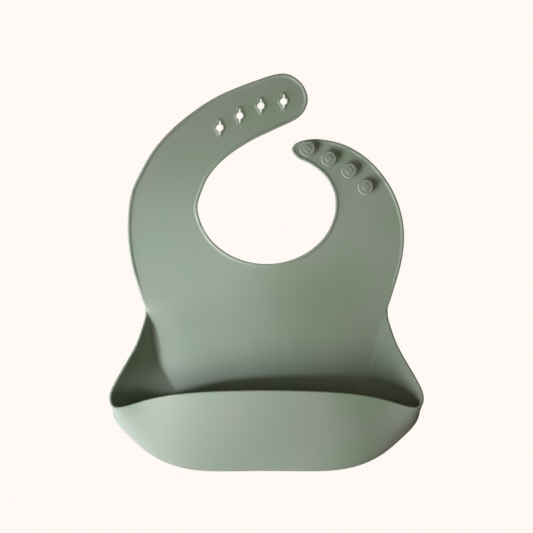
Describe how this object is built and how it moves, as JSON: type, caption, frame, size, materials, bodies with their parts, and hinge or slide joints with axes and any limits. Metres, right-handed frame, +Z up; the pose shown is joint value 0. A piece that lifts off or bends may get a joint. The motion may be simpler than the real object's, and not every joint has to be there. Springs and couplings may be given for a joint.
{
  "type": "silicone bib",
  "caption": "Soft one-colour baby bib with a scoop pocket, a rounded neck opening, and two curved neck straps that close with studs through keyholes.",
  "frame": {"origin": "centre of the neck opening, in the plane of the sheet's flat back", "axes": "+Z up towards the straps, +Y out of the flat back towards the wearer, +X to the right seen from the front"},
  "size_m": [0.2228, 0.0509, 0.2863],
  "materials": {
    "sheet_silicone": "soft matte",
    "pocket_silicone": "soft matte",
    "stud_silicone": "soft matte"
  },
  "bodies": {
    "chest": {"chest_panel": "sheet_silicone"},
    "hole_strap_base": {"hole_strap_root": "sheet_silicone"},
    "hole_strap_bend": {"hole_strap_middle": "sheet_silicone"},
    "hole_strap_end": {"hole_strap_tip": "sheet_silicone", "keyhole_rim_1": "sheet_silicone", "keyhole_rim_2": "sheet_silicone", "keyhole_rim_3": "sheet_silicone", "keyhole_rim_4": "sheet_silicone"},
    "button_strap_base": {"button_strap_root": "sheet_silicone"},
    "button_strap_end": {"button_strap_tip": "sheet_silicone", "stud_1": "stud_silicone", "stud_2": "stud_silicone", "stud_3": "stud_silicone", "stud_4": "stud_silicone"},
    "pocket": {"pocket_back": "sheet_silicone", "pocket_floor": "pocket_silicone", "pocket_side_left": "pocket_silicone", "pocket_side_right": "pocket_silicone", "pocket_corner_left": "pocket_silicone", "pocket_corner_right": "pocket_silicone"},
    "pocket_lip": {"pocket_front": "pocket_silicone"}
  },
  "joints": [
    {"name": "hole_strap_fold", "type": "hinge", "parent": "chest", "child": "hole_strap_base", "pos_m": [-0.05555, -0.0009, -0.03747], "axis": [-0.848, 0, -0.5299], "range_deg": [-25, 86], "stiffness_Nm_per_rad": 0.08},
    {"name": "hole_strap_bend_fold", "type": "hinge", "parent": "hole_strap_base", "child": "hole_strap_bend", "pos_m": [-0.067, -0.0009, 0], "axis": [-0.9703, 0, 0.2419], "range_deg": [-8, 27.5], "stiffness_Nm_per_rad": 0.05},
    {"name": "hole_strap_end_fold", "type": "hinge", "parent": "hole_strap_bend", "child": "hole_strap_end", "pos_m": [-0.05802, -0.0009, 0.0335], "axis": [-0.8387, 0, 0.5446], "range_deg": [-3.9, 13.1], "stiffness_Nm_per_rad": 0.05},
    {"name": "button_strap_fold", "type": "hinge", "parent": "chest", "child": "button_strap_base", "pos_m": [0.05555, -0.0009, -0.03747], "axis": [-0.9511, 0, 0.309], "range_deg": [-25, 70.2], "stiffness_Nm_per_rad": 0.08},
    {"name": "button_strap_end_fold", "type": "hinge", "parent": "button_strap_base", "child": "button_strap_end", "pos_m": [0.06696, -0.0009, -0.00234], "axis": [-0.9945, 0, -0.1045], "range_deg": [-15.3, 42.9], "stiffness_Nm_per_rad": 0.05},
    {"name": "waist_fold", "type": "hinge", "parent": "chest", "child": "pocket", "pos_m": [0, -0.0009, -0.066], "axis": [-1, 0, 0], "range_deg": [-45, 75], "stiffness_Nm_per_rad": 0.1},
    {"name": "pocket_flex", "type": "hinge", "parent": "pocket", "child": "pocket_lip", "pos_m": [0, -0.022, -0.1892], "axis": [-1, 0, 0], "range_deg": [-12, 20], "stiffness_Nm_per_rad": 0.06, "deforming": ["pocket_corner_left", "pocket_corner_right"]}
  ],
  "couplings": [
    {"joint": "hole_strap_bend_fold", "follows": "hole_strap_fold", "ratio": 0.31977},
    {"joint": "hole_strap_end_fold", "follows": "hole_strap_fold", "ratio": 0.15233},
    {"joint": "button_strap_end_fold", "follows": "button_strap_fold", "ratio": 0.61111}
  ]
}
